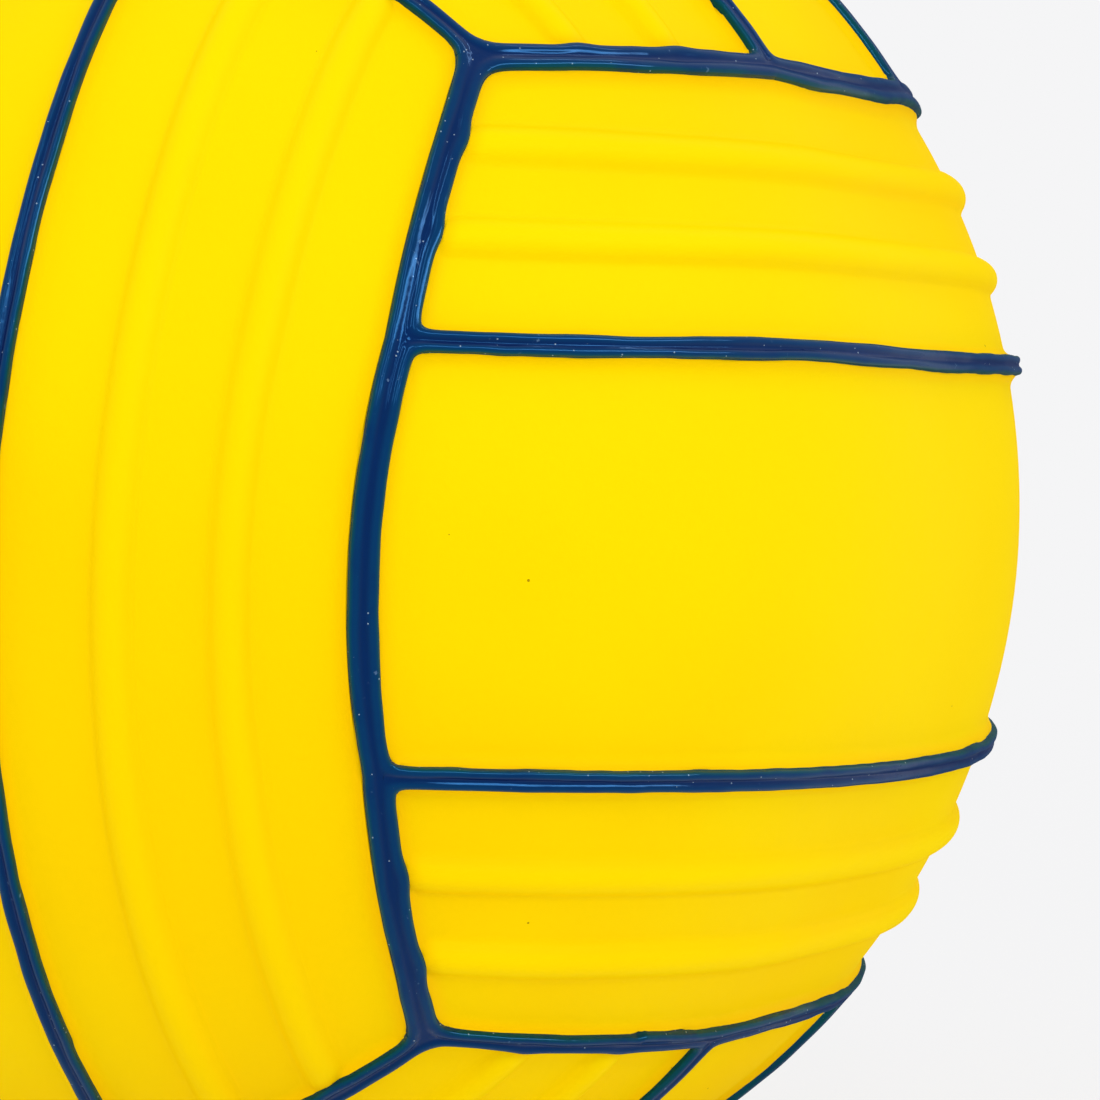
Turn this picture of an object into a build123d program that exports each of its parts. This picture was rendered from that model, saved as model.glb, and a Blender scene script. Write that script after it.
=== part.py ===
"""Water polo ball: cover panels, raised seam strips and the air-holding parts inside them."""

import os
from math import asin, cos, degrees, radians, sin, sqrt

from build123d import *

# Sizes in millimetres. The ball's centre is the origin and the valve points along +Z.
BALL_RADIUS = 109.5
COVER_THICKNESS = 1.1
CARCASS_THICKNESS = 0.35
WINDING_THICKNESS = 0.4
BLADDER_THICKNESS = 0.6
# Cement between the carcass and the cover pieces on it.
CEMENT_GAP = 0.1

# Distance from the ball's centre to the dividing seams of the right/left, back/front and top/bottom faces.
DIVIDER_OFFSETS = (27.6, 20.2, 21.7)
# How far the edges between faces bow out from planes square to the axes, in degrees.
EDGE_BOW = 4.7

# Seam strip: two round lips with a groove between them.
SEAM_WIDTH = 3.8
SEAM_HEIGHT = 2.1
LIP_RADIUS = 0.75

# Grip ribs on an outer panel, placed as shares of the way from its divider to its edge.
RIB_SHARES = (0.34, 0.65)
RIB_WIDTH = 5.0
RIB_HEIGHT = 1.8

# Valve: a housing bonded under the bladder and a plug with a bore for the pump needle.
VALVE_FACE = "top"
HOUSING_RADIUS = 5.5
HOUSING_DEPTH = 16.0
FLANGE_RADIUS = 15.0
FLANGE_THICKNESS = 1.2
PLUG_RADIUS = 3.4
PLUG_RECESS = 0.6
COLLAR_RADIUS = 4.6
COLLAR_LENGTH = 2.0
NEEDLE_RADIUS = 1.05
FUNNEL_RADIUS = 1.8
FUNNEL_DEPTH = 1.2

# Radii and angles that follow from the sizes.
COVER_INNER = BALL_RADIUS - COVER_THICKNESS
CARCASS_OUTER = COVER_INNER - CEMENT_GAP
CARCASS_INNER = CARCASS_OUTER - CARCASS_THICKNESS
WINDING_INNER = CARCASS_INNER - WINDING_THICKNESS
BLADDER_INNER = WINDING_INNER - BLADDER_THICKNESS
HOUSING_BOTTOM = BLADDER_INNER - HOUSING_DEPTH
PLUG_TOP = BALL_RADIUS - PLUG_RECESS
BOW = radians(EDGE_BOW)
EDGE_LATITUDE = asin((cos(BOW) - sin(BOW)) / sqrt(3))
EDGE_MIDDLE = EDGE_LATITUDE + BOW
# Latitude past every edge, and a distance past the whole ball, from which pieces are trimmed back.
PAST_EDGES = radians(60)
REACH = BALL_RADIUS * 1.5
# Three edge strips meet at a corner, 120 degrees apart, and are mitred half way between them.
MITRE = radians(60)

CENTRE = Vector(0, 0, 0)
DIRECTIONS = {
    "right": Vector(1, 0, 0),
    "left": Vector(-1, 0, 0),
    "back": Vector(0, 1, 0),
    "front": Vector(0, -1, 0),
    "top": Vector(0, 0, 1),
    "bottom": Vector(0, 0, -1),
}
# Each pair of faces has its strips along the next pair's axis and side by side along the one after.
PAIRS = (("right", "left"), ("back", "front"), ("top", "bottom"))


def section_plane(outward, axis):
    """Plane through the ball's centre: local x points outward, local y lies along the turning axis."""
    return Plane(origin=CENTRE, x_dir=outward, z_dir=outward.cross(axis))


def edge_axes(end_face, long_face):
    """Outward direction and turning axis of an edge where strip ends meet another face's long side."""
    ends = DIRECTIONS[end_face]
    side = DIRECTIONS[long_face]
    return ends * sin(BOW) + side * cos(BOW), ends * cos(BOW) - side * sin(BOW)


def seam_point(latitude, across, height):
    """Section point beside a seam's middle line: across the strip and out from the ball's centre."""
    x = height * cos(latitude) - across * sin(latitude)
    y = height * sin(latitude) + across * cos(latitude)
    return x, y


def wall_angle(latitude, across, radius):
    """Angle, in degrees, at which a wall beside a seam crosses a given radius."""
    return degrees(latitude + asin(across / radius))


def ball_point(angle, radius):
    """Section point at an angle in degrees and a radius."""
    return radius * cos(radians(angle)), radius * sin(radians(angle))


def seam_section(plane, latitude):
    """Section of a seam strip, from the carcass up to its two lips."""
    half = SEAM_WIDTH / 2
    foot = sqrt(COVER_INNER**2 - half**2)
    shoulder = BALL_RADIUS + SEAM_HEIGHT - LIP_RADIUS
    with BuildSketch(plane) as section:
        with BuildLine():
            for side in (-1, 1):
                wall = seam_point(latitude, side * half, shoulder)
                crest = seam_point(latitude, side * (half - LIP_RADIUS), shoulder + LIP_RADIUS)
                land = seam_point(latitude, side * (half - 2 * LIP_RADIUS), shoulder)
                Line(seam_point(latitude, side * half, foot), wall)
                ThreePointArc(wall, crest, land)
            inner = half - 2 * LIP_RADIUS
            Line(seam_point(latitude, -inner, shoulder), seam_point(latitude, inner, shoulder))
            ThreePointArc(
                seam_point(latitude, -half, foot),
                seam_point(latitude, 0, COVER_INNER),
                seam_point(latitude, half, foot),
            )
        make_face()
    return section.sketch


def panel_section(plane, low, high, ribs):
    """Section of a cover panel between two seams' latitudes, with ribs on its outside."""
    half = SEAM_WIDTH / 2
    angle = wall_angle(low, half, BALL_RADIUS)
    end = wall_angle(high, -half, BALL_RADIUS)
    inner_start = wall_angle(low, half, COVER_INNER)
    inner_end = wall_angle(high, -half, COVER_INNER)
    rib_half = degrees(asin(RIB_WIDTH / 2 / BALL_RADIUS))
    with BuildSketch(plane) as section:
        with BuildLine():
            Line(ball_point(inner_start, COVER_INNER), ball_point(angle, BALL_RADIUS))
            for rib in ribs:
                CenterArc((0, 0), BALL_RADIUS, angle, rib - rib_half - angle)
                ThreePointArc(
                    ball_point(rib - rib_half, BALL_RADIUS),
                    ball_point(rib, BALL_RADIUS + RIB_HEIGHT),
                    ball_point(rib + rib_half, BALL_RADIUS),
                )
                angle = rib + rib_half
            CenterArc((0, 0), BALL_RADIUS, angle, end - angle)
            Line(ball_point(end, BALL_RADIUS), ball_point(inner_end, COVER_INNER))
            CenterArc((0, 0), COVER_INNER, inner_start, inner_end - inner_start)
        make_face()
    return section.sketch


def side_section(plane, side):
    """Section of the space on one side of an edge strip: +1 towards the turning axis, -1 away from it."""
    across = side * SEAM_WIDTH / 2
    near = seam_point(EDGE_LATITUDE, across, BALL_RADIUS / 2)
    far = seam_point(EDGE_LATITUDE, across, REACH)
    with BuildSketch(plane) as section:
        with BuildLine():
            Polyline(near, far, (far[0], side * REACH), (0, side * REACH), (0, near[1]), close=True)
        make_face()
    return section.sketch


def save(builder, name):
    """Label a finished piece and write its file."""
    builder.part.label = name
    export_step(builder.part, f"parts/{name}.step")


def trim_to_edge(end_face, long_face, side):
    """Trim the open piece to one side of an edge strip."""
    outward, axis = edge_axes(end_face, long_face)
    revolve(side_section(section_plane(outward, axis), side), Axis(CENTRE, axis), mode=Mode.INTERSECT)


def make_panel(name, face, along, beside, low, high, ribs=(), outer=False, valve=False):
    """Make a cover panel: turn its section about the axis beside it, then trim it at its face's edges."""
    outward = DIRECTIONS[face]
    axis = DIRECTIONS[beside]
    with BuildPart() as panel:
        revolve(panel_section(section_plane(outward, axis), low, high, ribs), Axis(CENTRE, axis))
        for neighbour in along:
            trim_to_edge(face, neighbour, 1)
        if outer:
            trim_to_edge(beside, face, -1)
        if valve:
            with BuildSketch() as hole:
                Circle(HOUSING_RADIUS)
            extrude(hole.sketch, REACH, mode=Mode.SUBTRACT)
    save(panel, name)


def make_divider(name, face, along, beside, latitude):
    """Make a seam strip between two panels of one face, butted against the edge strips at its ends."""
    outward = DIRECTIONS[face]
    axis = DIRECTIONS[beside]
    with BuildPart() as divider:
        revolve(seam_section(section_plane(outward, axis), latitude), Axis(CENTRE, axis))
        for neighbour in along:
            trim_to_edge(face, neighbour, 1)
    save(divider, name)


def make_edge(name, end_face, long_face):
    """Make a seam strip along the edge between two faces, mitred with the two others at each corner."""
    outward, axis = edge_axes(end_face, long_face)
    ends = DIRECTIONS[end_face]
    side = DIRECTIONS[long_face]
    with BuildPart() as edge:
        revolve(seam_section(section_plane(outward, axis), EDGE_LATITUDE), Axis(CENTRE, axis))
        for run in (ends.cross(side), side.cross(ends)):
            corner = (ends + side + run).normalized()
            heading = axis.cross(corner).normalized()
            if heading.dot(run) > 0:
                heading = heading * -1
            sideways = corner.cross(heading)
            for turn in (-1, 1):
                mitre = heading * sin(MITRE) + sideways * (turn * cos(MITRE))
                split(bisect_by=Plane(origin=CENTRE, z_dir=mitre), keep=Keep.TOP)
    save(edge, name)


def make_layer(name, outer, inner):
    """Make one of the closed layers under the cover, with a hole for the valve housing."""
    with BuildPart() as layer:
        Sphere(outer)
        Sphere(inner, mode=Mode.SUBTRACT)
        with BuildSketch() as hole:
            Circle(HOUSING_RADIUS)
        extrude(hole.sketch, REACH, mode=Mode.SUBTRACT)
    save(layer, name)


os.makedirs("parts", exist_ok=True)

for index, pair in enumerate(PAIRS):
    along = PAIRS[(index + 1) % 3]
    across = PAIRS[(index + 2) % 3]
    divider = asin(DIVIDER_OFFSETS[index] / BALL_RADIUS)
    ribs = [degrees(divider + share * (EDGE_MIDDLE - divider)) for share in RIB_SHARES]
    for face in pair:
        valve = face == VALVE_FACE
        make_panel(f"panel_{face}_middle", face, along, across[0], -divider, divider, valve=valve)
        for beside in across:
            make_panel(f"panel_{face}_{beside}", face, along, beside, divider, PAST_EDGES, ribs, outer=True)
            make_divider(f"divider_{face}_{beside}", face, along, beside, divider)
        for neighbour in along:
            make_edge(f"edge_{face}_{neighbour}", face, neighbour)

make_layer("carcass_layer", CARCASS_OUTER, CARCASS_INNER)
make_layer("yarn_winding", CARCASS_INNER, WINDING_INNER)
make_layer("bladder", WINDING_INNER, BLADDER_INNER)

with BuildPart() as valve_housing:
    Sphere(BLADDER_INNER)
    Sphere(BLADDER_INNER - FLANGE_THICKNESS, mode=Mode.SUBTRACT)
    Cylinder(FLANGE_RADIUS, REACH, align=(Align.CENTER, Align.CENTER, Align.MIN), mode=Mode.INTERSECT)
    with BuildSketch(Plane.XY.offset(HOUSING_BOTTOM)):
        Circle(HOUSING_RADIUS)
    extrude(amount=BALL_RADIUS - HOUSING_BOTTOM)
    Sphere(BALL_RADIUS, mode=Mode.INTERSECT)
    with BuildSketch(Plane.XY):
        Circle(PLUG_RADIUS)
    extrude(amount=REACH, mode=Mode.SUBTRACT)
save(valve_housing, "valve_housing")

with BuildPart() as valve_plug:
    with BuildSketch(Plane.XY.offset(HOUSING_BOTTOM - COLLAR_LENGTH)):
        Circle(COLLAR_RADIUS)
    extrude(amount=COLLAR_LENGTH)
    with BuildSketch(Plane.XY.offset(HOUSING_BOTTOM)):
        Circle(PLUG_RADIUS)
    extrude(amount=PLUG_TOP - HOUSING_BOTTOM)
    with BuildSketch(Plane.XY):
        Circle(NEEDLE_RADIUS)
    extrude(amount=REACH, mode=Mode.SUBTRACT)
    with BuildSketch(Plane.XZ):
        with BuildLine():
            Polyline(
                (0, PLUG_TOP - FUNNEL_DEPTH),
                (NEEDLE_RADIUS, PLUG_TOP - FUNNEL_DEPTH),
                (FUNNEL_RADIUS, PLUG_TOP),
                (0, PLUG_TOP),
                close=True,
            )
        make_face()
    revolve(axis=Axis.Z, mode=Mode.SUBTRACT)
save(valve_plug, "valve_plug")
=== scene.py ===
# %% [markdown]
# # A water polo ball
#
# The ball is a round bag of air under a moulded rubber cover. What the eye meets is the cover: eighteen
# yellow panels, twelve of them with grip ribs, and a net of raised navy strips in the seams between them.
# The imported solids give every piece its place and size. This lesson dresses them: it remakes the cover
# with the soft forms that moulding leaves, and mixes the finishes. All sizes here are in millimetres
# until a mesh is made.

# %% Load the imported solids
import math

import bpy
import numpy as np
from mathutils import Matrix, Vector


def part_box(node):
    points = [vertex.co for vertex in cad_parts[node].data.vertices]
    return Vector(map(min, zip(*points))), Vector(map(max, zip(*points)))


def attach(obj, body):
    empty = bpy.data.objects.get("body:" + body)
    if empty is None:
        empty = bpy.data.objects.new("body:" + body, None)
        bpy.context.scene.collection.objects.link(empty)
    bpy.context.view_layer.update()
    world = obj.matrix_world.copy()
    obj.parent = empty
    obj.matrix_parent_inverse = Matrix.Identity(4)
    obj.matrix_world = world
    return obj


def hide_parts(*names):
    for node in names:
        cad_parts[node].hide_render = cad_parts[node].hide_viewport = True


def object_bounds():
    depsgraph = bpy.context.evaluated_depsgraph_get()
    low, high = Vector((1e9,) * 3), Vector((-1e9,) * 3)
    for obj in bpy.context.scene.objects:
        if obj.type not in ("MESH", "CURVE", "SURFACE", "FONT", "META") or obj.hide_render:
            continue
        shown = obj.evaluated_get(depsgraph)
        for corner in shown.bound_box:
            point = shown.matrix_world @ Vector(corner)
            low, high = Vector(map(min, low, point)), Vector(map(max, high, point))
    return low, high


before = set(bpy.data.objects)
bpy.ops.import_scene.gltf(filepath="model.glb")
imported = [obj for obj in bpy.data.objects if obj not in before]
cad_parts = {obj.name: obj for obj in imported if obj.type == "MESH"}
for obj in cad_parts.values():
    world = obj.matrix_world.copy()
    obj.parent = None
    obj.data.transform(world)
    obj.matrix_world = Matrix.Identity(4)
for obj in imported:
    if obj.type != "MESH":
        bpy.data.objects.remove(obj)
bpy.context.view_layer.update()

MM = 0.001
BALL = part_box("panel_right_middle")[1].x / MM
print(f"{len(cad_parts)} nodes loaded, ball radius {BALL:.1f} mm")

# %% [markdown]
# ## Six faces of three strips
#
# The cover is laid out like a cube blown up to a ball: three pairs of opposite faces, each face cut into
# three strips by two dividers. The strips of a pair end at the next pair of faces, and lie side by side
# towards the pair after that. On the real ball the middle strips differ in width from pair to pair, so
# each pair has its own divider. The edges between faces bow out a little, which is one angle for them
# all. Places on the ball are unit vectors in numpy arrays, so a whole mesh is worked out at once.

# %% Faces and places
WAY = {
    "right": np.array((1.0, 0, 0)),
    "left": np.array((-1.0, 0, 0)),
    "back": np.array((0, 1.0, 0)),
    "front": np.array((0, -1.0, 0)),
    "top": np.array((0, 0, 1.0)),
    "bottom": np.array((0, 0, -1.0)),
}
PAIRS = (("right", "left"), ("back", "front"), ("top", "bottom"))
DIVIDERS = (27.6, 20.2, 21.7)
DIVIDER_LATITUDES = [math.asin(offset / BALL) for offset in DIVIDERS]
BOW = math.radians(4.7)
EDGE_LATITUDE = math.asin((math.cos(BOW) - math.sin(BOW)) / math.sqrt(3))


def pair_of(face):
    """Number of the pair that a face belongs to."""
    return next(index for index, pair in enumerate(PAIRS) if face in pair)


def ends_of(face):
    """The two faces at which a face's strips end."""
    return PAIRS[(pair_of(face) + 1) % 3]


def sides_of(face):
    """The two faces towards which a face's outer strips lie."""
    return PAIRS[(pair_of(face) + 2) % 3]


def on_ball(latitude, turn, outward, axis):
    """Unit vectors at a latitude about an axis, turned from the outward direction."""
    sideways = np.cross(axis, outward)
    latitude, turn = np.asarray(latitude)[..., None], np.asarray(turn)[..., None]
    return np.cos(latitude) * (outward * np.cos(turn) + sideways * np.sin(turn)) + axis * np.sin(latitude)


FACES = [face for pair in PAIRS for face in pair]
print("faces:", ", ".join(FACES))

# %% [markdown]
# ## What a seam line can tell
#
# Every seam is an arc of a circle drawn on the ball about some axis through its centre, so an axis, a
# latitude and an end angle say all about it. One small class keeps such an arc. It gives a spot beside
# the seam, and it measures where any spot lies: how far round, how far across and how far away.

# %% The seam line
class SeamLine:
    """The middle line of one seam strip."""

    def __init__(self, node, outward, axis, latitude, reach, half):
        self.node, self.outward, self.axis = node, outward, axis
        self.latitude, self.reach, self.half = latitude, reach, half
        self.scale = BALL * math.cos(latitude)
        self.is_edge = node.startswith("edge")

    def beside(self, turn, across):
        return on_ball(self.latitude + across / BALL, turn, self.outward, self.axis)

    def turn(self, spots):
        return np.arctan2(spots @ np.cross(self.axis, self.outward), spots @ self.outward)

    def across(self, spots):
        return BALL * (np.arcsin(np.clip(spots @ self.axis, -1, 1)) - self.latitude)

    def away(self, spots):
        near = self.beside(np.clip(self.turn(spots), -self.reach, self.reach), 0.0)
        return BALL * np.linalg.norm(spots - near, axis=-1)

    def tee(self):
        """Turn at which a divider runs into this edge."""
        return math.asin(DIVIDERS[pair_of(self.node.split("_")[1])] / self.scale)


print("a seam line keeps an axis, a latitude and a reach")

# %% [markdown]
# ## The seam net
#
# Twelve edges part the six faces and twelve dividers part their strips. The strips are laid by hand, so
# they aren't all of one width: five edges were measured in the photo, and the rest take a middle value. A
# divider stops short of the edge's middle line, because its end is butted against the edge strip.

# %% The seam lines
HALF = 1.9
NEAR_LIP = 1.2
DIVIDER_HALF, EDGE_HALF = 1.45, 1.75
MEASURED = {
    "edge_right_front": 1.95,
    "edge_top_right": 1.95,
    "edge_bottom_right": 1.4,
    "edge_front_top": 1.5,
    "edge_front_bottom": 1.5,
}


def divider_line(face, beside):
    """The line between the middle strip of a face and an outer one."""
    latitude = DIVIDER_LATITUDES[pair_of(face)]
    meets = math.acos(math.sin(EDGE_LATITUDE) / math.cos(latitude)) - BOW
    reach = meets - NEAR_LIP / BALL / math.cos(latitude)
    return SeamLine(f"divider_{face}_{beside}", WAY[face], WAY[beside], latitude, reach, DIVIDER_HALF)


def edge_line(face, neighbour):
    """The bowed line between a face and the neighbour at which its strips end."""
    ends, side = WAY[face], WAY[neighbour]
    axis = ends * math.cos(BOW) - side * math.sin(BOW)
    outward = ends * math.sin(BOW) + side * math.cos(BOW)
    corner = (ends + side + np.cross(ends, side)) / math.sqrt(3)
    reach = abs(math.atan2(corner @ np.cross(axis, outward), corner @ outward))
    node = f"edge_{face}_{neighbour}"
    return SeamLine(node, outward, axis, EDGE_LATITUDE, reach, MEASURED.get(node, EDGE_HALF))


seams = []
for face in FACES:
    seams += [divider_line(face, beside) for beside in sides_of(face)]
    seams += [edge_line(face, neighbour) for neighbour in ends_of(face)]
line_of = {line.node: line for line in seams}
print(f"{len(seams)} seam lines")

# %% [markdown]
# ## Where the grip ribs run
#
# Each outer strip carries two ribs along it, for wet hands to hold. They are moulded with the panel and
# run out against the edge strips at both ends. Where a rib ends, it presses the strip's foot outwards, so
# the rib ends are gathered here for the seams to take account of.

# %% Rib lines
RIB_SHARES = (0.34, 0.65)


def rib_latitudes(face):
    """Latitudes of the two grip ribs on the outer strips of a face."""
    divider = DIVIDER_LATITUDES[pair_of(face)]
    return [divider + share * (EDGE_LATITUDE + BOW - divider) for share in RIB_SHARES]


def end_turn(latitude, across):
    """How far a strip runs at a latitude before it is at a distance across the edge at its end."""
    return np.arccos(math.sin(EDGE_LATITUDE + across / BALL) / np.cos(latitude)) - BOW


rib_ends = []
for face in FACES:
    for beside in sides_of(face):
        for latitude in rib_latitudes(face):
            turn = end_turn(latitude, HALF)
            rib_ends += [on_ball(latitude, way * turn, WAY[face], WAY[beside]) for way in (-1, 1)]
print(f"{len(rib_ends)} rib ends")

# %% [markdown]
# ## Unevenness
#
# Rubber that was laid and pressed by hand is never quite straight or level. A sum of a few sine waves in
# directions drawn from a seed gives such slow unevenness anywhere on the ball, without a seam or a
# repeat, and the same each time. Each use names its depth, the size of its waves and its seed.

# %% Ripple
WAVES = 9
STRETCH = (0.6, 1.6)


def ripple(spots, depth, size, seed):
    """Smooth unevenness of about the given depth, with waves of about the given size."""
    rng = np.random.default_rng(seed)
    total = 0
    for _ in range(WAVES):
        way = rng.normal(size=3)
        way *= 2 * math.pi * BALL / size / np.linalg.norm(way) * rng.uniform(*STRETCH)
        total = total + np.sin(spots @ way + rng.uniform(0, 2 * math.pi))
    return depth * (total / (WAVES / 2))


test = on_ball(np.radians((0.0, 10.0)), np.zeros(2), WAY["right"], WAY["top"])
print("ripple at two spots:", np.round(ripple(test, 1.0, 15, 3), 2))

# %% [markdown]
# ## Lapped ends
#
# A strip is a cut length of rubber, and at two places in the photo its end laps over the strip before it.
# There the strip is suddenly wider on one side, in a pointed flap that fades out behind the cut. Each lap
# says on which strip it is, at what angle it starts, which way it runs and on which side it shows.

# %% Laps
LAPS = (("edge_bottom_right", 23.0, -1, -1), ("divider_top_front", -47.0, 1, 1))
FLAP_WIDTH, FLAP_RISE, FLAP_FADE = 0.6, 1.4, 13
FLAP_FROM, FLAP_TO = 0.6, 6


def lap_flap(spots, node, start, way, side):
    """How much wider a strip is behind its lapped end."""
    line = line_of[node]
    along = way * (line.turn(spots) - math.radians(start)) * line.scale
    across = side * line.across(spots)
    fade = np.exp(-((np.maximum(along, 0) / FLAP_FADE) ** 2))
    flap = FLAP_WIDTH * np.clip(along / FLAP_RISE, 0, 1) * fade
    return flap * ((across > FLAP_FROM) & (across < FLAP_TO))


print("laps on", " and ".join(lap[0] for lap in LAPS))

# %% [markdown]
# ## One field for the whole cover
#
# Where strips meet on the real ball, the rubber has flowed together: the grooves join, the lips turn from
# one strip into the next, and the corners are rounded. Modelling each junction by hand would be slow and
# would leave creases. Instead one function gives the distance from any spot to the nearest seam, and
# blends the distances where several seams are near. Heights then follow from that distance alone, so
# every piece that is cut from the field fits its neighbours.

# %% The distance field
WEB = 0.75
RIB_SWELL, RIB_SWELL_SIZE = 0.45, 2.3
WAVER, SHAKE = (0.11, 15, 3), (0.05, 6, 4)


def seam_gap(spots):
    """Distance to the middle of the seam net, with rounded inner corners; a strip's foot is at HALF."""
    gap = -WEB * np.log(sum(np.exp(-line.away(spots) * HALF / line.half / WEB) for line in seams))
    for end in rib_ends:
        gap = gap - RIB_SWELL * np.exp(-(((spots - end) ** 2).sum(-1)) * (BALL / RIB_SWELL_SIZE) ** 2)
    for lap in LAPS:
        gap = gap - lap_flap(spots, *lap)
    return gap + ripple(spots, *WAVER) + ripple(spots, *SHAKE)


print("gap in the middle of the right face:", np.round(seam_gap(test), 1))

# %% [markdown]
# ## Height of a strip
#
# A strip stands about two millimetres proud. It is pressed out of a mould, so its crown is nearly flat
# with a shallow groove along the middle, and its sides fall away in two round lips. The height is a short
# formula of the distance from the middle line, so a change of a number here moves every strip at once.

# %% Strip height
LIP_HEIGHT, SHOULDER_HEIGHT = 2.15, 1.25
CROWN_FLATNESS, LIP_ROUNDING = 5, 0.45
GROOVE_DEPTH, GROOVE_WIDTH = 0.34, 0.55
GROOVE_WAVER, CROWN_WAVER = (0.3, 20, 5), (0.06, 11, 6)


def strip_height(gap, spots):
    """Height of a navy strip above the ball at a distance from its middle line."""
    inside = np.clip(gap, 0, HALF)
    fall = (1 - (inside / HALF) ** CROWN_FLATNESS) ** LIP_ROUNDING
    crown = SHOULDER_HEIGHT + (LIP_HEIGHT - SHOULDER_HEIGHT) * fall
    groove = GROOVE_DEPTH * (1 + ripple(spots, *GROOVE_WAVER)) * np.exp(-((inside / GROOVE_WIDTH) ** 2))
    return crown - groove + ripple(spots, *CROWN_WAVER)


print("strip height across:", np.round(strip_height(np.linspace(0, HALF, 5), test[:1].repeat(5, 0)), 2))

# %% [markdown]
# ## Height of a panel
#
# A rib is a low arch with a small hollow at its foot. Where a panel meets a strip it turns up in a small
# flare, because the rubber creeps up the strip's side in the mould, and under the strip it tucks down out
# of sight. Ribs sink a little where they run into an edge strip.

# %% Panel height
RIB_WIDTH, RIB_HEIGHT, RIB_FOOT = 5.4, 1.95, 0.36
RIB_RADIUS = (RIB_WIDTH**2 / 4 + RIB_HEIGHT**2) / (2 * RIB_HEIGHT)
RIB_SINK, RIB_SINK_LENGTH = 0.25, 3.0
FLARE_HEIGHT, FLARE_WIDTH, FLARE_CURVE = 1.15, 2.9, 2.5
BLEND = 0.1
TUCK_START, TUCK_END, TUCK_DEPTH = -0.15, -0.75, 0.6
PANEL_WAVER = (0.05, 30, 7)


def soft_step(share):
    """0 below 0 and 1 above 1, with a soft change between."""
    share = np.clip(share, 0, 1)
    return share * share * (3 - 2 * share)


def rib_height(latitude, rib):
    """Height of a grip rib."""
    offset = np.abs(latitude - rib) * BALL
    arch = np.sqrt(np.maximum(RIB_RADIUS**2 - offset**2, 0)) - (RIB_RADIUS - RIB_HEIGHT)
    arch = arch - np.maximum(offset - RIB_RADIUS, 0)
    return RIB_FOOT * np.log1p(np.exp(np.clip(arch / RIB_FOOT, -60, 60)))


def panel_height(gap, spots, latitude, ribs):
    """Height of a yellow panel: flares at the seams, ribs, and a tuck under the strips."""
    beyond = gap - HALF
    rise = FLARE_HEIGHT * (1 - np.clip(beyond / FLARE_WIDTH, 0, 1)) ** FLARE_CURVE
    for rib in ribs:
        arch = rib_height(latitude, rib) * (1 - RIB_SINK * np.exp(-((beyond / RIB_SINK_LENGTH) ** 2)))
        rise = (rise + arch + np.sqrt((rise - arch) ** 2 + BLEND**2)) / 2 - BLEND / 2
    shown = soft_step((beyond - TUCK_END) / (TUCK_START - TUCK_END))
    return (rise + ripple(spots, *PANEL_WAVER)) * shown - TUCK_DEPTH * (1 - shown)


print("rib height across:", np.round(rib_height(np.linspace(0, RIB_WIDTH / 2, 4) / BALL, 0.0), 2))

# %% [markdown]
# ## How the cover settles
#
# On a ball that has been blown up the smooth middle panels reach a little further than the ribbed ones,
# so an edge strip bulges at a middle panel and draws back beside it. The strips were also laid a little
# off line, and eight such nudges were measured in the photo: each says on which seam it is, at what angle
# and how far beside it, how far it pushes, and how wide it fades. All this is one smooth push on the
# whole cover. It is worked out for any spot and applied to every piece last, so the pieces still fit.

# %% The push at the seams
BULGE, DRAW_BACK = 1.0, 0.65
FADE, END_FADE = 15.0, 0.16
NUDGES = (
    ("divider_front_right", -45, 0, -1.9, 34),
    ("divider_right_top", -22, 0, 1.0, 26),
    ("divider_right_bottom", -5, 0, 0.55, 45),
    ("edge_top_right", -18, 0, 0.8, 32),
    ("edge_top_right", -46, 0, 1.0, 20),
    ("edge_top_right", 27, -18, -2.0, 25),
    ("edge_bottom_right", 17, 0, 1.0, 32),
    ("edge_bottom_right", -27, -8, -1.2, 22),
)


def edge_push(line, spots):
    """How far an edge is pushed along its axis at each spot."""
    turn = line.turn(spots)
    curve = np.minimum((turn / line.tee()) ** 2, 1) * (BULGE + DRAW_BACK) - BULGE
    end = soft_step((line.reach - np.abs(turn)) / END_FADE)
    return curve * end * np.exp(-((line.across(spots) / FADE) ** 2))


def settle(spots):
    """Unit vectors pushed across the nearby seams."""
    moved = spots
    for line in seams:
        if line.is_edge:
            moved = moved + line.axis * (edge_push(line, spots) / BALL)[..., None]
    for node, turn, beside, push, width in NUDGES:
        line = line_of[node]
        far = BALL * np.linalg.norm(spots - line.beside(math.radians(turn), beside), axis=-1)
        moved = moved + line.axis * (push * np.exp(-((far / width) ** 2)) / BALL)[..., None]
    return moved / np.linalg.norm(moved, axis=-1, keepdims=True)


print("push at the front of the right face:", np.round((settle(test) - test) * BALL, 2).tolist()[0])

# %% [markdown]
# ## Faces of a closed sheet
#
# Each piece is a grid of points on the outside, a coarser floor on the inside and a wall round its rim,
# so it is a closed body as the real piece is. The floor is made of large faces that borrow the fine
# points of the rim, which keeps the count low where nobody looks.

# %% Sheet faces
def every(count, step):
    """Numbers of every so many lines, and always of the last."""
    return list(range(0, count - 1, step)) + [count - 1]


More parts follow.
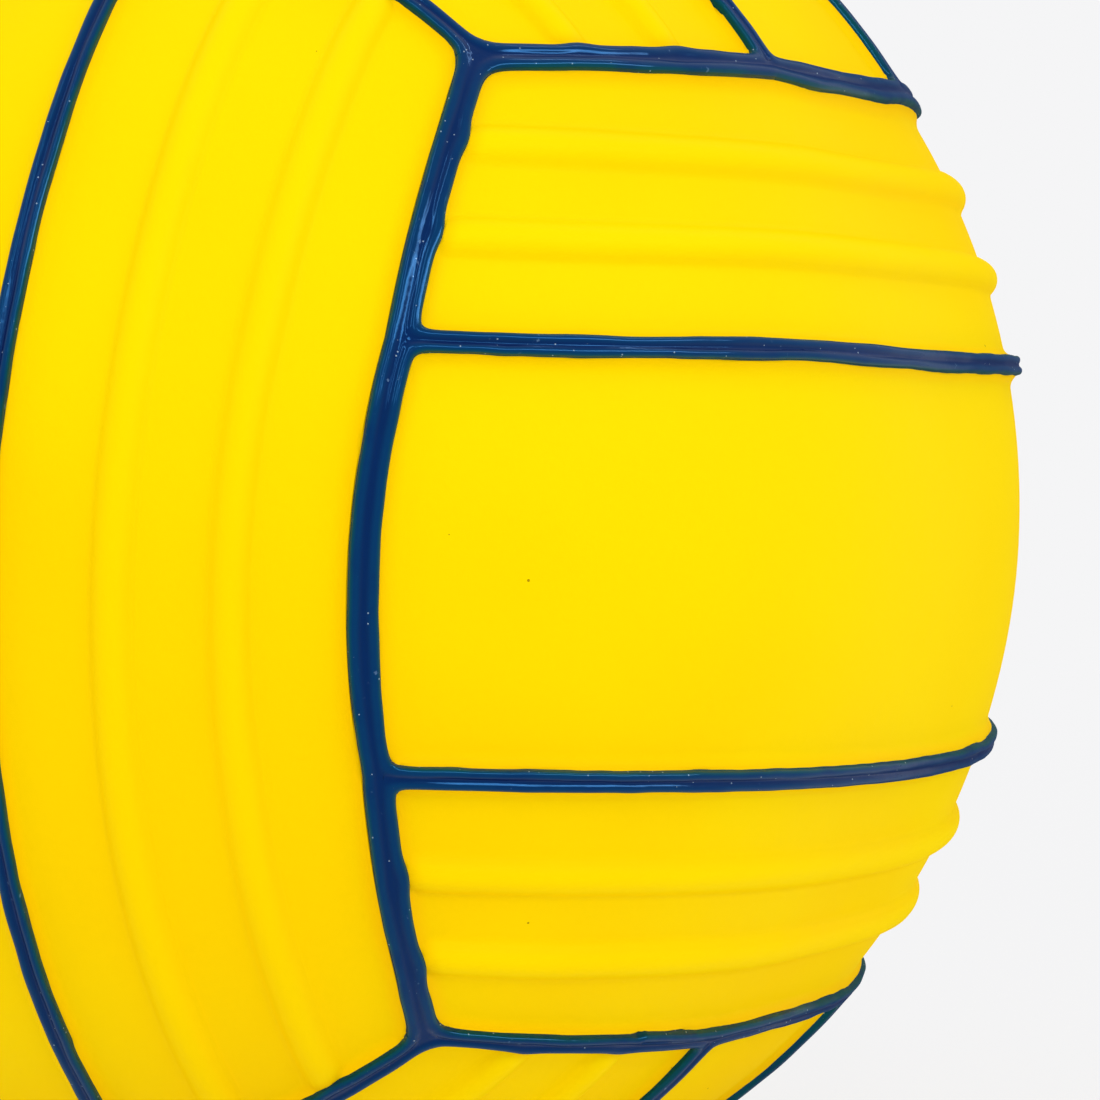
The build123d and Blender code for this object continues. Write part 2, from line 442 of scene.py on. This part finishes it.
def sheet_faces(rows, columns, row_step, column_step):
    """Faces over a grid of outer points, numbered first, and the same grid of inner points after them."""
    outer = np.arange(rows * columns).reshape(rows, columns)
    shift = rows * columns
    inner = outer + shift
    quads = np.stack([outer[:-1, :-1], outer[1:, :-1], outer[1:, 1:], outer[:-1, 1:]], -1)
    faces = quads.reshape(-1, 4).tolist()
    rim = [outer[:, 0], outer[-1, 1:], outer[::-1, -1][1:], outer[0, ::-1][1:]]
    rim = np.concatenate(rim).tolist()
    faces += [[b, a, a + shift, b + shift] for a, b in zip(rim[:-1], rim[1:])]
    row_lines, column_lines = every(rows, row_step), every(columns, column_step)
    for r0, r1 in zip(row_lines[:-1], row_lines[1:]):
        for c0, c1 in zip(column_lines[:-1], column_lines[1:]):
            first = [inner[r0, c] for c in (range(c0, c1) if r0 == 0 else (c0,))]
            second = [inner[r, c1] for r in (range(r0, r1) if c1 == columns - 1 else (r0,))]
            third = [inner[r1, c] for c in (range(c1, c0, -1) if r1 == rows - 1 else (c1,))]
            fourth = [inner[r, c0] for r in (range(r1, r0, -1) if c0 == 0 else (r1,))]
            faces.append([int(i) for i in first + second + third + fourth])
    return faces


print("faces of a sheet of 5 by 5 points:", len(sheet_faces(5, 5, 2, 2)))

# %% [markdown]
# ## Closed bodies
#
# The body takes its outer points as they come and lays its inner ones on the cover's inner radius. Points
# that no face uses are left out. Marks, such as the distance to the seam, are stored on the points for
# the finishes to use, so that a colour can follow a form exactly.

# %% A closed body from a grid
COVER_THICKNESS = 1.1
CREASE = math.radians(55)


def add_object(name, data):
    """Put a mesh, a lamp or a camera into the scene."""
    made = bpy.data.objects.new(name, data)
    bpy.context.scene.collection.objects.link(made)
    return made


def closed_body(name, outer, marks, row_step, column_step):
    """Mesh object from a grid of outer points, with walls, a coarse floor and marks on the points."""
    inner = outer / np.linalg.norm(outer, axis=-1, keepdims=True) * (BALL - COVER_THICKNESS)
    points = np.concatenate([outer.reshape(-1, 3), inner.reshape(-1, 3)]) * MM
    faces = sheet_faces(*outer.shape[:2], row_step, column_step)
    used = np.unique(np.concatenate(faces))
    place = np.full(len(points), -1)
    place[used] = np.arange(len(used))
    mesh = bpy.data.meshes.new(name)
    mesh.from_pydata(points[used].tolist(), [], [place[face].tolist() for face in faces])
    mesh.polygons.foreach_set("use_smooth", np.ones(len(faces), bool))
    mesh.set_sharp_from_angle(angle=CREASE)
    for mark, values in marks.items():
        store = mesh.attributes.new(mark, "FLOAT", "POINT")
        both = np.tile(values.reshape(-1), 2)[used]
        store.data.foreach_set("value", both.astype(np.float32))
    return add_object(name, mesh)


print(f"closed bodies have their floor at {BALL - COVER_THICKNESS:.1f} mm")

# %% [markdown]
# ## Lines where they are needed
#
# Lips, flares and ribs need points a third of a millimetre apart, and the smooth rubber between them
# hardly any. So the grid lines are spaced by a density that is high near given places and low elsewhere.

# %% Spacing
SAMPLES = 4000


def spaced(length, fine, coarse, places, width):
    """Positions from 0 to a length, close together near the given places and further apart elsewhere."""
    x = np.linspace(0, length, SAMPLES)
    density = 1 / coarse + sum((1 / fine - 1 / coarse) * np.exp(-(((x - p) / width) ** 4)) for p in places)
    count = np.concatenate([[0], np.cumsum((density[1:] + density[:-1]) / 2 * np.diff(x))])
    return np.interp(np.linspace(0, count[-1], int(count[-1]) + 2), count, x)


print("points across a 40 mm strip:", len(spaced(40, 0.35, 2.0, (0, 13, 26, 40), 3.2)))

# %% [markdown]
# ## Laying out a panel
#
# A panel is laid out by latitude and turn about the axis that its strip runs round, so the grid lines run
# along the ribs and keep them crisp. Its rim tucks under the strips. An outer panel's far side follows
# the bowed edge, so the last lines fan out from the second rib to meet it. Where the fan ends depends on
# the turn and the turn on the latitude, so a few rounds settle both.

# %% The grid of a panel
UNDER = 0.98
FINE, COARSE, BAND = 0.33, 2.4, 3.4
PAST_RIB = 4.0
FAN, FAN_COARSE, FAN_BAND = 7.0, 1.2, 3.0
RUN, RUN_FINE, RUN_BAND = 180, 0.36, 4.0
ROUNDS = 6


def edge_side(turn):
    """Latitude of an outer panel's rim along its bowed edge."""
    tilt = np.arctan2(math.sin(BOW) * np.cos(turn), math.cos(BOW))
    size = np.hypot(math.sin(BOW) * np.cos(turn), math.cos(BOW))
    return np.arcsin(math.sin(EDGE_LATITUDE - UNDER / BALL) / size) + tilt


def panel_grid(divider, ribs):
    """Latitude and turn at each point of a panel, which is an outer one if it has ribs."""
    low = divider + UNDER / BALL if ribs else -divider + UNDER / BALL
    high = ribs[1] + PAST_RIB / BALL if ribs else divider - UNDER / BALL
    width = (high - low) * BALL
    places = [0] + [(rib - low) * BALL for rib in ribs] if ribs else [0, width]
    fixed = low + spaced(width, FINE, COARSE, places, BAND) / BALL
    share = np.zeros(len(fixed))
    if ribs:
        fan = spaced(FAN, FINE, FAN_COARSE, (FAN,), FAN_BAND)[1:] / FAN
        fixed = np.concatenate([fixed, np.full(len(fan), high)])
        share = np.concatenate([share, fan])
    run = spaced(RUN, RUN_FINE, COARSE, (0, RUN), RUN_BAND) / (RUN / 2) - 1
    turn = np.outer(run, np.ones(len(fixed)))
    for _ in range(ROUNDS):
        latitude = fixed + share * (edge_side(turn) - high)
        turn = run[:, None] * end_turn(latitude, UNDER)
    return latitude, turn


print("points of a middle panel:", panel_grid(DIVIDER_LATITUDES[0], [])[1].shape)

# %% [markdown]
# ## The cover panels
#
# With the grid, the heights and the push at hand a panel is a few lines: each point goes out to the
# ball's radius and its own height, in the direction it has settled to. The crests of the ribs are marked
# for a painted highlight, which makes the yellow a touch brighter there.

# %% Panels
PANEL_STEPS = (6, 5)


def make_panel(face, strip):
    """One cover panel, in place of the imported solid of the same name."""
    middle = strip == "middle"
    axis = WAY[sides_of(face)[0]] if middle else WAY[strip]
    ribs = [] if middle else rib_latitudes(face)
    latitude, turn = panel_grid(DIVIDER_LATITUDES[pair_of(face)], ribs)
    spots = on_ball(latitude, turn, WAY[face], axis)
    gap = seam_gap(spots)
    outer = settle(spots) * (BALL + panel_height(gap, spots, latitude, ribs))[..., None]
    # The rib height share marks the crests for a painted highlight in the yellow.
    painted_crest_highlight = sum((rib_height(latitude, rib) for rib in ribs), 0 * gap) / RIB_HEIGHT
    piece = closed_body(f"cover_{face}_{strip}", outer, {"gap": gap - HALF, "painted_crest_highlight": painted_crest_highlight}, *PANEL_STEPS)
    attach(piece, "root")
    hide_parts(f"panel_{face}_{strip}")
    return piece


covers = [make_panel(face, strip) for face in FACES for strip in ("middle",) + sides_of(face)]
print(f"{len(covers)} panels, {sum(len(cover.data.polygons) for cover in covers)} faces")

# %% [markdown]
# ## How far a strip reaches
#
# A strip's grid runs along its seam. At each step it reaches sideways until the strip's foot, or until
# another strip is nearer, which gives the mitred ends at the corners and the butted ends of the dividers
# by itself. The place is found by walking outwards in small steps, and by a straight line between the
# last two of them.

# %% Reach
STEP, STEPS = 0.1, 61
LEAST_REACH = 0.06


def reach_across(line, turns, side):
    """How far the strip goes to one side at each turn."""
    steps = STEP * np.arange(STEPS)
    spots = line.beside(turns[:, None], side * steps[None, :])
    others = np.min([other.away(spots) for other in seams if other is not line], axis=0)
    over = np.maximum(seam_gap(spots) - HALF, line.away(spots) - others)
    first = np.argmax(over > 0, axis=1)
    before = np.maximum(first - 1, 0)
    rows = np.arange(len(turns))
    low, high = over[rows, before], over[rows, first]
    part = np.where(first > 0, -low / np.maximum(high - low, 1e-9), 0)
    return np.maximum(STEP * (before + part), LEAST_REACH)


halfway = reach_across(line_of["edge_right_front"], np.zeros(1), 1)
print(f"the front right edge reaches {halfway[0]:.2f} mm to one side")

# %% [markdown]
# ## The seam strips
#
# The steps along a strip are shortest at its laps and at its knots, which are its ends and its meetings
# with dividers. Across, the lines crowd a little towards the feet, where the lips are roundest. How near
# a knot a point lies is marked on it: glue and dust gather at the joints, and the finish will show them.

# %% Strips
BUTT = 0.55
STRIP_FINE, STRIP_COARSE, STRIP_BAND = 0.18, 0.7, 3.2
LINES = 27
KNOT_SIZE = 2.6
STRIP_STEPS = (4, LINES - 1)


def make_strip(line):
    """One seam strip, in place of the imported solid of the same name."""
    end = line.reach + (0 if line.is_edge else BUTT / line.scale)
    length = 2 * end * line.scale
    knots = [0, length]
    if line.is_edge:
        tee = line.tee() * line.scale
        knots += [length / 2 - tee, length / 2 + tee]
    laps = [(math.radians(start) + end) * line.scale for node, start, *_ in LAPS if node == line.node]
    along = spaced(length, STRIP_FINE, STRIP_COARSE, knots + laps, STRIP_BAND)
    turns = along / line.scale - end
    even = np.linspace(-1, 1, LINES)
    across = 0.5 * np.sin(even * math.pi / 2) + 0.5 * even
    left, right = reach_across(line, turns, -1), reach_across(line, turns, 1)
    offset = np.where(across < 0, left[:, None] * across, right[:, None] * across)
    spots = line.beside(turns[:, None], offset)
    gap = seam_gap(spots)
    outer = settle(spots) * (BALL + strip_height(gap, spots))[..., None]
    nearest = np.min([np.abs(along - knot) for knot in knots], axis=0)
    knot = np.exp(-((nearest / KNOT_SIZE) ** 2))[:, None] * np.ones(LINES)
    piece = closed_body(f"strip_{line.node}", outer, {"gap": gap, "knot": knot}, *STRIP_STEPS)
    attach(piece, "root")
    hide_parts(line.node)
    return piece


strips = [make_strip(line) for line in seams]
print(f"{len(strips)} strips, {sum(len(strip.data.polygons) for strip in strips)} faces")

# %% [markdown]
# ## Writing finishes as sums
#
# A finish is a small network of nodes. To read it as a sentence, a socket is wrapped in a class that
# knows plus, minus, times, more and less, so a line of sums adds its Math nodes by itself.

# %% Sums of sockets
class Wire:
    """A socket that can be used in sums; each operation adds a Math node."""

    def __init__(self, finish, socket):
        self.finish, self.socket = finish, socket

    def math(self, operation, a, b):
        return self.finish.node("Math", {"operation": operation}, {0: a, 1: b})

    def __add__(self, other):
        return self.math("ADD", self, other)

    def __sub__(self, other):
        return self.math("SUBTRACT", self, other)

    def __rsub__(self, other):
        return self.math("SUBTRACT", other, self)

    def __mul__(self, other):
        return self.math("MULTIPLY", self, other)

    def __gt__(self, other):
        return self.math("GREATER_THAN", self, other)

    def __lt__(self, other):
        return self.math("LESS_THAN", self, other)

    __radd__, __rmul__ = __add__, __mul__


print("sockets can be added, taken away, multiplied and compared")

# %% [markdown]
# ## The finish kit
#
# One method adds any other node: first its settings, then its sockets. The rest are short names for what
# the finishes use again and again: noise, a mark stored on the points, dots, soft steps and mixed
# colours. The same kit serves the surroundings, which are a network too.

# %% The finish kit
class Finish:
    """The network of a material or of the surroundings, under construction."""

    def __init__(self, owner):
        self.owner = owner
        owner.use_nodes = True
        self.tree = owner.node_tree
        self.tree.nodes.clear()

    def node(self, kind, settings, inputs, output=0):
        """Add a node: its settings come first, then the values or wires of its sockets."""
        made = self.tree.nodes.new("ShaderNode" + kind)
        for key, value in settings.items():
            setattr(made, key, value)
        for key, value in inputs.items():
            if isinstance(value, Wire):
                self.tree.links.new(value.socket, made.inputs[key])
            else:
                made.inputs[key].default_value = value
        return Wire(self, made.outputs[output]) if made.outputs else None

    def place(self):
        return self.node("TexCoord", {}, {}, "Object")

    def mark(self, name):
        return self.node("Attribute", {"attribute_name": name}, {}, "Fac")

    def noise(self, scale, detail=3.0):
        return self.node("TexNoise", {}, {"Vector": self.place(), "Scale": scale, "Detail": detail})

    def dots(self, scale, size, rarity):
        """1 inside small dots; the nearer the rarity is to 1, the fewer there are."""
        cells = {"Vector": self.place(), "Scale": scale}
        near = self.node("TexVoronoi", {}, cells)
        pick = self.node("SeparateColor", {}, {0: self.node("TexVoronoi", {}, cells, "Color")})
        return (near < size) * (pick > rarity)

    def slant(self):
        """0 where the surface faces the eye and 1 where it is seen edge on."""
        return self.node("LayerWeight", {}, {"Blend": 0.5}, "Facing")

    def seen(self):
        """1 for what the eye sees, straight or in a shiny surface, and 0 for light that falls on things."""
        straight = self.node("LightPath", {}, {}, "Is Camera Ray")
        mirrored = self.node("LightPath", {}, {}, "Is Glossy Ray")
        return 1 - (1 - straight) * (1 - mirrored)

    def smooth(self, value, start, end):
        """0 before start and 1 after end, with a soft change between."""
        return self.node("MapRange", {"interpolation_type": "SMOOTHSTEP"}, {0: value, 1: start, 2: end})

    def mix(self, factor, a, b):
        return self.node("Mix", {"data_type": "RGBA"}, {0: factor, 6: a, 7: b}, 2)

    def surface(self, inputs, height, strength, distance):
        """Close the network with a Principled surface and a bump of the given height."""
        bump = {"Height": height, "Strength": strength, "Distance": distance}
        shader = self.node("BsdfPrincipled", {}, {**inputs, "Normal": self.node("Bump", {}, bump)})
        self.node("OutputMaterial", {}, {"Surface": shader})
        return self.owner


def new_finish(name):
    return Finish(bpy.data.materials.new(name))


def colour(red, green, blue):
    """Linear colour from the 0 to 255 numbers that a picture shows."""
    part = [c / 255 for c in (red, green, blue)]
    return [c / 12.92 if c <= 0.04045 else ((c + 0.055) / 1.055) ** 2.4 for c in part] + [1.0]


print("finish kit ready; bright yellow is", [round(c, 2) for c in colour(255, 221, 0)])

# %% [markdown]
# ## Yellow cover rubber
#
# Moulded rubber is satin: a broad soft shine, a faint orange-peel from the mould and slow changes of
# tone. The crests of the ribs get a painted highlight, a little brighter yellow, and the hollows beside
# the strips get painted shade, a deeper orange. The yellow has a few dark specks. Seen edge on it loses
# its shine.

# %% Yellow rubber
def yellow_rubber():
    f = new_finish("yellow_rubber")
    shade = f.mix(f.smooth(f.noise(14.0, 2.0), 0.35, 0.68), colour(255, 213, 0), colour(255, 221, 0))
    # Painted highlight: the rib crests are made a brighter yellow.
    shade = f.mix(f.mark("painted_crest_highlight") * 0.2, shade, colour(255, 230, 0))
    # Painted shade: towards the strips the yellow turns a deeper orange, in the hollows beside them.
    painted_hollow_shade = 1 - f.smooth(f.mark("gap"), -0.2, 2.6)
    shade = f.mix(painted_hollow_shade * 0.4, shade, colour(246, 180, 0))
    shade = f.mix(f.dots(260.0, 0.05, 0.965) * 0.7, shade, colour(120, 80, 10))
    roughness = 0.42 + 0.12 * f.noise(60.0) + 0.45 * f.smooth(f.slant(), 0.4, 0.85)
    peel = f.noise(420.0, 2.0) + 0.5 * f.noise(1600.0, 1.0)
    parts = {"Base Color": shade, "Roughness": roughness, "IOR": 1.1}
    parts["Specular Tint"] = colour(255, 240, 150)
    return f.surface(parts, peel, 0.10, 0.0006)


yellow = yellow_rubber()
for cover in covers:
    cover.data.materials.append(yellow)
print("yellow rubber on", len(covers), "panels")

# %% [markdown]
# ## Navy strip rubber
#
# The strips are glossy and a little uneven. Their grooves get painted shade, a deep blue, the lips a
# painted highlight, a paler blue, and the feet a painted teal reflection of the yellow beside them.
# Fine scuffs and white dust sit on them, most of all at the knots, and the gloss fades where a strip is
# seen edge on.

# %% Navy rubber
def navy_rubber():
    f = new_finish("navy_rubber")
    gap, knot = f.mark("gap"), f.mark("knot")
    # Painted shade and highlight: deep blue in the groove, paler blue on the lips.
    shade = f.mix(f.smooth(gap, 0.15, 1.0), colour(0, 20, 74), colour(0, 43, 86))
    # Painted reflection of the yellow: the feet of the strips turn teal.
    shade = f.mix(f.smooth(gap, 1.2, 1.75), shade, colour(0, 62, 66))
    shade = f.mix(f.smooth(f.noise(160.0), 0.45, 0.7) * 0.5, shade, colour(0, 24, 80))
    scuff = f.smooth(f.noise(900.0, 6.0), 0.66, 0.74) * f.smooth(f.noise(120.0), 0.5, 0.62)
    shade = f.mix(scuff * 0.45, shade, colour(120, 150, 185))
    patch = f.smooth(f.noise(70.0, 2.0), 0.46, 0.6)
    dust = f.dots(950.0, 0.1, 0.88 - 0.4 * patch - 0.3 * knot)
    shade = f.mix(dust * 0.5, shade, colour(190, 210, 225))
    roughness = 0.07 + 0.08 * f.noise(240.0) + 0.25 * scuff + 0.75 * f.smooth(f.slant(), 0.4, 0.75)
    parts = {"Base Color": shade, "Roughness": roughness, "IOR": 1.52}
    parts["Specular Tint"] = colour(84, 175, 255)
    return f.surface(parts, f.noise(380.0, 2.0) + knot * f.noise(900.0, 2.0), 0.08, 0.0006)


navy = navy_rubber()
for strip in strips:
    strip.data.materials.append(navy)
print("navy rubber on", len(strips), "strips")

# %% [markdown]
# ## The valve and the inner layers
#
# The valve's solids are right as they are, so they stay and get finishes. The layers under the cover are
# never seen whole, but each still gets the stuff it is made of: dull rubber and wound yarn.

# %% Inner finishes
def dull_rubber(name, dark, light, scale):
    f = new_finish(name)
    shade = f.mix(f.noise(scale), dark, light)
    parts = {"Base Color": shade, "Roughness": 0.5 + 0.2 * f.noise(scale * 4)}
    return f.surface(parts, f.noise(scale * 12), 0.15, 0.0005)


def wound_yarn():
    f = new_finish("nylon_yarn")
    wave = {"Vector": f.place(), "Scale": 420.0, "Distortion": 2.5, "Detail": 2.0}
    threads = f.node("TexWave", {"bands_direction": "DIAGONAL"}, wave, "Fac")
    shade = f.mix(threads, colour(170, 165, 150), colour(232, 228, 214))
    return f.surface({"Base Color": shade, "Roughness": 0.75 + 0.1 * f.noise(90.0)}, threads, 0.5, 0.0005)


INSIDE = {
    "valve_housing": dull_rubber("valve_rubber", colour(232, 190, 0), colour(246, 206, 10), 220.0),
    "valve_plug": dull_rubber("plug_rubber", colour(26, 26, 28), colour(44, 44, 46), 300.0),
    "bladder": dull_rubber("bladder_rubber", colour(20, 20, 22), colour(36, 35, 36), 40.0),
    "carcass_layer": dull_rubber("carcass_rubber", colour(80, 74, 66), colour(104, 98, 88), 40.0),
    "yarn_winding": wound_yarn(),
}
for node, material in INSIDE.items():
    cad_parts[node].data.materials.clear()
    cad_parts[node].data.materials.append(material)
print("finished inside:", ", ".join(INSIDE))

# %% [markdown]
# ## The valve opening
#
# The top panel has a round opening for the valve housing. The panel is closed, so a cylinder cuts the
# opening cleanly out of it, and the cut is applied to the mesh so that nothing is left to compute later.
# The opening is measured from the plug's collar, which fits in the housing.

# %% Cut the opening
HOUSING_WALL = 0.92
CUTTER_SIDES, CUTTER_REACH = 96, 20


def round_cutter(radius):
    """An upright cylinder through the top of the ball."""
    turn = np.linspace(0, 2 * math.pi, CUTTER_SIDES + 1)[:-1]
    ring = np.stack([np.cos(turn) * radius, np.sin(turn) * radius], -1)
    levels = (BALL - CUTTER_REACH, BALL + CUTTER_REACH)
    points = [(x * MM, y * MM, z * MM) for z in levels for x, y in ring]
    after = [(i + 1) % CUTTER_SIDES for i in range(CUTTER_SIDES)]
    faces = [[i, j, j + CUTTER_SIDES, i + CUTTER_SIDES] for i, j in enumerate(after)]
    faces += [list(range(CUTTER_SIDES))[::-1], list(range(CUTTER_SIDES, 2 * CUTTER_SIDES))]
    mesh = bpy.data.meshes.new("valve_cutter")
    mesh.from_pydata(points, [], faces)
    return add_object("valve_cutter", mesh)


def cut_away(piece, cutter):
    """Take the cutter's form out of a piece for good."""
    cut = piece.modifiers.new("opening", "BOOLEAN")
    cut.object, cut.operation, cut.solver = cutter, "DIFFERENCE", "EXACT"
    done = piece.evaluated_get(bpy.context.evaluated_depsgraph_get())
    result = bpy.data.meshes.new_from_object(done)
    piece.modifiers.clear()
    piece.data = result
    bpy.data.objects.remove(cutter)


top_cover = next(cover for cover in covers if cover.name == "cover_top_middle")
cut_away(top_cover, round_cutter(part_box("valve_plug")[1].x / MM + HOUSING_WALL))
print("opening cut in", top_cover.name)

# %% [markdown]
# ## Floor
#
# The ball stands on a plain pale floor, as in a studio. To the eye, and in the shine of the strips, the
# floor is mostly its own pale colour, and more so further off, so that no line shows where it ends. The
# rest of its colour comes from the light that falls on it, which leaves a faint shadow under the ball.

# %% Floor
PALE = colour(245, 245, 246)
FLOOR_REACH = 4.0


def floor_finish():
    f = new_finish("pale_floor")
    far = f.smooth(f.node("VectorMath", {"operation": "LENGTH"}, {0: f.place()}, "Value"), 0.2, 1.1)
    shade = f.mix(f.noise(3.0), colour(246, 246, 247), colour(250, 250, 251))
    matt = f.node("BsdfDiffuse", {}, {"Color": shade})
    glow = f.node("Emission", {}, {"Color": PALE})
    both = f.node("MixShader", {}, {0: f.seen() * (0.8 + 0.2 * far), 1: matt, 2: glow})
    f.node("OutputMaterial", {}, {"Surface": both})
    return f.owner


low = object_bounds()[0].z
corners = [(x * FLOOR_REACH, y * FLOOR_REACH, low) for x, y in ((-1, -1), (1, -1), (1, 1), (-1, 1))]
mesh = bpy.data.meshes.new("floor")
mesh.from_pydata(corners, [], [(0, 1, 2, 3)])
floor = add_object("floor", mesh)
mesh.materials.append(floor_finish())
print("floor at", round(low, 4), "m")

# %% [markdown]
# ## Surroundings
#
# A bright room lights the ball evenly from all sides, which is what makes the yellow so clear. The pale
# backdrop is given only to the eye and to shiny surfaces, so it doesn't add light to the ball.

# %% Surroundings
ROOM_LIGHT = 0.85

studio = Finish(bpy.data.worlds.new("studio"))
bpy.context.scene.world = studio.owner
room = studio.node("Background", {}, {"Color": (1, 1, 1, 1), "Strength": ROOM_LIGHT})
backdrop = studio.node("Background", {}, {"Color": PALE})
chosen = studio.node("MixShader", {}, {0: studio.seen(), 1: room, 2: backdrop})
studio.node("OutputWorld", {}, {"Surface": chosen})
print("room light", ROOM_LIGHT)

# %% [markdown]
# ## Lights
#
# Four oblong lights model the ball: a tall one to the left of the camera, a low wide one to the right, a
# small one in front and one overhead. They are narrow, because the strips mirror them as fine bright
# lines. The fifth light, a broad one to the right, shows in the shine alone: it is hidden from matt
# surfaces, so the strips glint without the yellow growing brighter. Their places are given from the
# camera, by its line of sight.

# %% Lights
LOOK = Vector((0.462130, -0.884362, 0.065877))
LEFT = Vector((-0.883123, -0.465705, -0.056681))
UP = Vector((0, 0, 1))


def soft_light(name, place, width, height, power):
    """An oblong area light that faces the ball."""
    data = bpy.data.lights.new(name, "AREA")
    data.shape, data.size, data.size_y, data.energy = "RECTANGLE", width, height, power
    lamp = add_object(name, data)
    lamp.location = place
    lamp.rotation_euler = (-place).to_track_quat("-Z", "Y").to_euler()
    return lamp


soft_light("left", (LOOK * 0.7 + LEFT * 0.28 + UP * 0.66) * 1.2, 0.05, 0.8, 1.5)
soft_light("low", (LOOK * 0.64 - LEFT * 0.64 + UP * 0.36) * 1.2, 0.9, 0.07, 1.1)
soft_light("front", (LOOK * 0.8 - LEFT * 0.1 + UP * 0.45) * 1.2, 0.1, 0.5, 0.9)
soft_light("overhead", (LOOK * 0.08 - LEFT * 0.5 + UP * 0.85) * 1.15, 0.05, 0.4, 0.5)
shine = soft_light("shine", (LOOK * 0.62 - LEFT * 0.66 + UP * 0.36) * 1.25, 1.0, 0.24, 4.5)
shine.visible_diffuse = False
print("five soft lights")

# %% [markdown]
# ## Camera
#
# The camera stands where the photograph was taken from. Its place and lens come from fitting the seam net
# to the picture: a long lens at about six ball radii, a little above the middle, with the ball left of
# centre.

# %% Camera
FOCAL_PIXELS, FRAME_PIXELS = 4500, 1100
CAMERA_PLACE = Vector((3.18014, -5.30134, 0.36477))
CAMERA_UP = Vector((-0.080806, 0.031984, 0.996217))

data = bpy.data.cameras.new("camera")
data.sensor_width = 36.0
data.lens = FOCAL_PIXELS / FRAME_PIXELS * data.sensor_width
data.clip_start, data.clip_end = 0.05, 50
camera = add_object("camera", data)
camera.location = CAMERA_PLACE * BALL * MM
camera.rotation_euler = Matrix((-LEFT, CAMERA_UP, LOOK)).transposed().to_euler()
bpy.context.scene.camera = camera
bpy.context.scene.view_settings.view_transform = "Standard"
print("lens", round(data.lens, 1), "mm")
